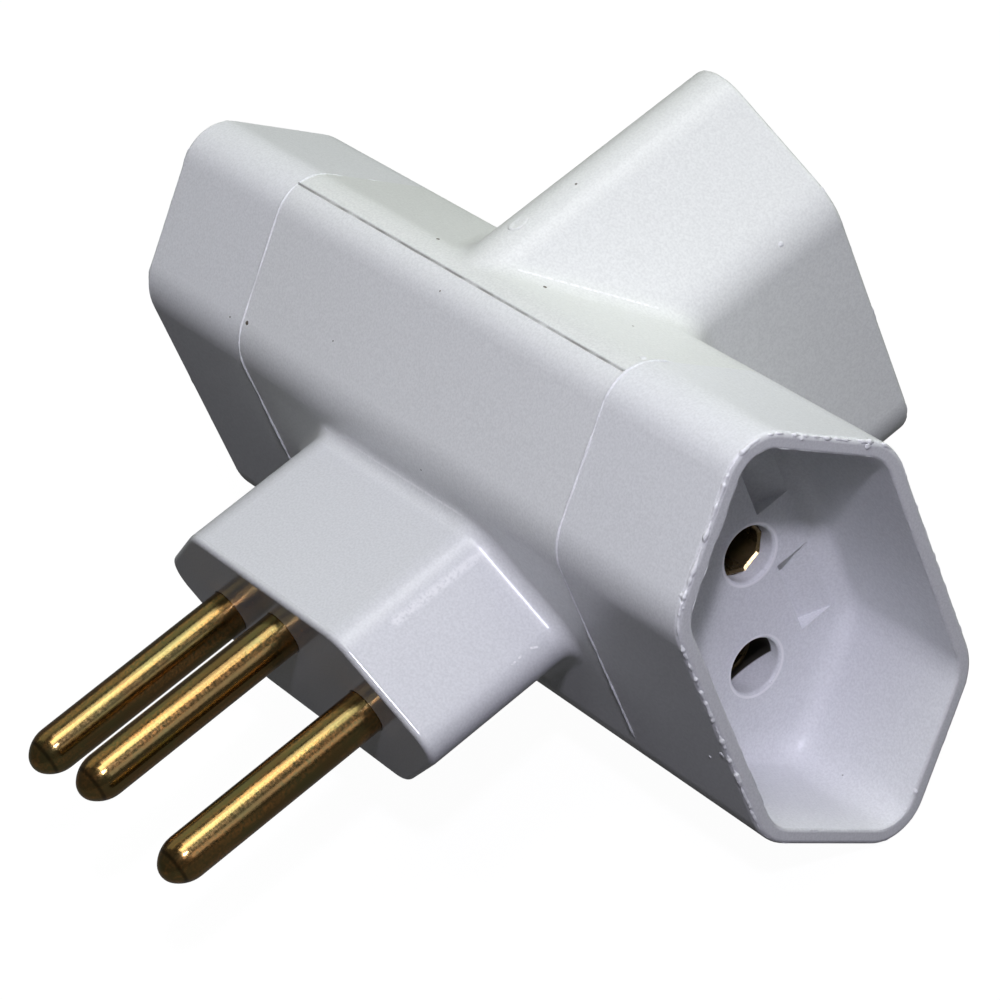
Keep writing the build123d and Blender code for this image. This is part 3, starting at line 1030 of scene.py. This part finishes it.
# %% [markdown]
# ## Flared mouths of the earth contacts
#
# The brass tube behind each earth hole stands nearer the hole than the power contacts do. Its
# mouth is pressed out into flat petals, so that a pin finds its way in, and one petal shines deep
# in the hole. A tree of nodes could turn the ring, but there are only three, each facing its own
# way, so their points are worked out here. Each ring is a closed solid.

# %% Contact lips
lip_petals = 8
lip_turn = math.radians(-73.0)
# Distance from the axis to the middle of a petal, and distance in front of the tube's end.
lip_section = (
    (2.04 * MM, 0.27 * MM),
    (1.87 * MM, 0.08 * MM),
    (1.97 * MM, 0.00 * MM),
    (2.14 * MM, 0.19 * MM),
)


def lip_point(sleeve, turn, radius, forward):
    """A point on a contact's mouth, at an angle round its axis and in front of its end."""
    low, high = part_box(sleeve)
    middle = (low + high) / 2
    across, up = radius * math.cos(turn), radius * math.sin(turn)
    if sleeve.startswith("rear"):
        return (middle.x - across, high.y + forward, middle.z + up)
    if sleeve.startswith("left"):
        return (low.x - forward, middle.y - across, middle.z + up)
    return (high.x + forward, middle.y + across, middle.z + up)


def lip_mesh(name, sleeves):
    """Closed rings of flat petals, the same section all round, one for each contact."""
    points, faces = [], []
    to_corner = 1 / math.cos(math.pi / lip_petals)
    for sleeve in sleeves:
        first = len(points)
        for radius, forward in lip_section:
            for petal in range(lip_petals):
                turn = lip_turn + math.tau * (petal + 0.5) / lip_petals
                points.append(lip_point(sleeve, turn, radius * to_corner, forward))
        for corner in range(len(lip_section)):
            here = first + corner * lip_petals
            there = first + (corner + 1) % len(lip_section) * lip_petals
            for petal in range(lip_petals):
                after = (petal + 1) % lip_petals
                faces.append((here + petal, here + after, there + after, there + petal))
    mesh = bpy.data.meshes.new(name)
    mesh.from_pydata(points, [], faces)
    return mesh


earth_sleeves = [name for name in nodes if name.endswith("earth_sleeve")]
contact_lips = linked_object("contact_lips", lip_mesh("contact_lips", earth_sleeves))
paint(contact_lips, lip_metal)
settle(contact_lips)

# %% [markdown]
# ## A grain, as a node tree
#
# A speck is a flat grain set in the surface and a crumb is a lump on it, so one tree serves both:
# it puts an uneven ball on each point, turned to the surface and flattened. Size and facing come
# as attributes of the points.

# %% The grain's node tree
ball_rounds = 3
ball_lumps = 1.8


def named_value(tree, name, kind):
    """An attribute of the points, by its name."""
    node = add(tree, "GeometryNodeInputNamedAttribute", {"Name": name}, data_type=kind)
    return node.outputs[0]


def grain_tree():
    """Points go in, and an uneven flattened ball on each comes out."""
    sockets = {"Points": "Geometry", "Flatness": "Float", "Unevenness": "Float", "Seed": "Float"}
    tree, given = open_tree("grains", sockets | {"Material": "Material"})
    unit_ball = {"Radius": 1.0, "Subdivisions": ball_rounds}
    ball = add(tree, "GeometryNodeMeshIcoSphere", unit_ball).outputs[0]
    lump = nudged(tree, ball, given["Seed"], ball_lumps, given["Unevenness"])
    facing = {"Vector": named_value(tree, "facing", "FLOAT_VECTOR")}
    turn = add(tree, "FunctionNodeAlignRotationToVector", facing, axis="Z").outputs[0]
    size = named_value(tree, "size", "FLOAT")
    thin = times(tree, size, given["Flatness"])
    scale = add(tree, "ShaderNodeCombineXYZ", {"X": size, "Y": size, "Z": thin}).outputs[0]
    spread = {"Points": given["Points"], "Instance": lump, "Rotation": turn, "Scale": scale}
    balls = add(tree, "GeometryNodeInstanceOnPoints", spread).outputs[0]
    close_tree(tree, balls, given["Material"])
    return tree


def mark_points(name, marks):
    """A mesh of points on the casing, one for each mark, with its facing and its size."""
    mesh = bpy.data.meshes.new(name)
    found = [under_pixel(mark[:2]) for mark in marks.values()]
    radii = [mark[2] * MM / 2 for mark in marks.values()]
    mesh.from_pydata([point for point, normal in found], [], [])
    mesh.attributes.new("facing", "FLOAT_VECTOR", "POINT")
    mesh.attributes.new("size", "FLOAT", "POINT")
    for index, radius in enumerate(radii):
        mesh.attributes["facing"].data[index].vector = found[index][1]
        mesh.attributes["size"].data[index].value = radius
    return mesh


grains = grain_tree()
print("inputs:", [item.name for item in grains.interface.items_tree])

# %% [markdown]
# ## Specks and crumbs
#
# Burnt grains got into the melt and show as dark specks, and along the rims and a few edges bits
# of plastic have come loose. Two crumbs of the lighter plastic by the pin holes are painted
# highlights, glints on the holes' edges. Noise could scatter them, but these are where the
# photograph has them, so each is named with its pixel.

# %% Specks and crumbs
# Pixel across, pixel down, size in mm.
dark_marks = {
    "left_seam_speck": (247, 323, 0.36),
    "left_cap_speck": (230, 317, 0.16),
    "ridge_nick": (438, 239, 0.28),
    "ridge_pit": (545, 287, 0.30),
    "front_dot_high": (440, 291, 0.14),
    "front_dot_low": (421, 470, 0.14),
    "front_dot_left": (333, 341, 0.14),
    "cap_dot": (633, 326, 0.16),
    "arm_mark": (576, 184, 0.20),
}
crumb_marks = {
    "arm_chip": (781, 244, 0.42),
    "cap_ring_nick": (643, 358, 0.50),
    "rim_top_left": (802, 438, 0.36),
    "rim_top_right": (868, 446, 0.48),
    "rim_left_high": (681, 595, 0.40),
    "rim_left_low": (682, 608, 0.32),
    "rim_low_near": (722, 755, 0.42),
    "rim_low_far": (710, 757, 0.32),
    "rim_inner_high": (915, 791, 0.40),
    "rim_inner_low": (905, 808, 0.36),
    # These two crumbs stand in for glints: painted highlights.
    "earth_hole_glint": (765, 568, 0.30),
    "power_hole_glint": (771, 683, 0.30),
}
burnt_scale = 4000.0
burnt_shades = ((0.05, 0.04, 0.03, 1.0), (0.20, 0.16, 0.12, 1.0))
burnt_roughness = 0.55


def speck_material(name):
    """Burnt plastic: a dark brown grain that is never quite even."""
    material, tree, shader, place = finish_tree(name)
    burnt = blend(tree, cloud(tree, place, burnt_scale), *burnt_shades)
    feed(tree, shader, {"Base Color": burnt, "Roughness": burnt_roughness})
    return material


specks = grow("burnt_specks", mark_points("burnt_specks", dark_marks), grains, {
    "Flatness": 0.2,
    "Unevenness": 0.9,
    "Seed": 5.0,
    "Material": speck_material("burnt_speck"),
})
settle(specks)
crumbs = grow("plastic_crumbs", mark_points("plastic_crumbs", crumb_marks), grains, {
    "Flatness": 0.35,
    "Unevenness": 1.3,
    "Seed": 8.0,
    "Material": burr_plastic,
})
settle(crumbs)

# %% [markdown]
# ## The gate scar
#
# Molten plastic entered the mould of the rear shell through a gate on the arm's ridge. When the
# sprue was cut off it left a rough oval. A bump in the material would vanish from the side, so
# a small patch of rings is laid on the surface by rays. Its outer rings swell unevenly, and its
# edge dips just under the surface, so that it joins the ridge without a step. One face inside the
# plastic closes it underneath.

# %% Gate scar
scar_pixel = (518, 223)
scar_half_length = 0.95 * MM
scar_half_width = 0.7 * MM
scar_height = 0.2 * MM
scar_hollow = 0.2
scar_sink = 0.02 * MM
scar_grain = 1600.0
scar_dimension, scar_lacunarity, scar_octaves = 1.0, 2.0, 2
scar_rings = 12
scar_spokes = 36
ray_height = 2.0 * MM


def gate_scar():
    """A closed oval lump on the arm's ridge, low in its middle and uneven round it."""
    centre, normal = under_pixel(scar_pixel)
    along = (Vector((0.0, 1.0, 0.0)) - normal * normal.y).normalized()
    long_half, wide_half = along * scar_half_length, normal.cross(along) * scar_half_width
    points = []
    for index in range(scar_rings + 1):
        reach = index / scar_rings
        swell = (scar_hollow + (1 - scar_hollow) * reach**2) * (1 - reach**4)
        for spoke in range(scar_spokes if index else 1):
            angle = math.tau * spoke / scar_spokes
            flat = long_half * math.cos(angle) + wide_half * math.sin(angle)
            point = hit_casing(centre + flat * reach + normal * ray_height, -normal)[0]
            fractal = (scar_dimension, scar_lacunarity, scar_octaves)
            rough = 1.0 + noise.fractal(point * scar_grain, *fractal)
            points.append(point + normal * (scar_height * rough * swell - scar_sink * reach))
    faces = []
    for index in range(scar_rings):
        for spoke in range(scar_spokes):
            here = (index - 1) * scar_spokes + spoke + 1
            beside = (index - 1) * scar_spokes + (spoke + 1) % scar_spokes + 1
            outer = (here + scar_spokes, beside + scar_spokes)
            faces.append((here, *outer, beside) if index else (0, *outer))
    faces.append(tuple(reversed(range(len(points) - scar_spokes, len(points)))))
    mesh = bpy.data.meshes.new("gate_scar")
    mesh.from_pydata(points, [], faces)
    mesh.materials.append(rear_plastic)
    mesh.shade_smooth()
    mesh.polygons[-1].use_smooth = False
    return linked_object("gate_scar", mesh)


scar = gate_scar()
settle(scar)

# %% [markdown]
# ## The size of the dressed part
#
# Nothing here may make the adapter bigger. The box of the dressed part is set against the box of
# the bare solids, and how much it grows is printed.

# %% Write the sizes and finish
shown_low, shown_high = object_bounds()
growth = [round((high - low) / MM, 3) for low, high in zip(cad_high, shown_high)]
print("box grows by", growth, "mm")
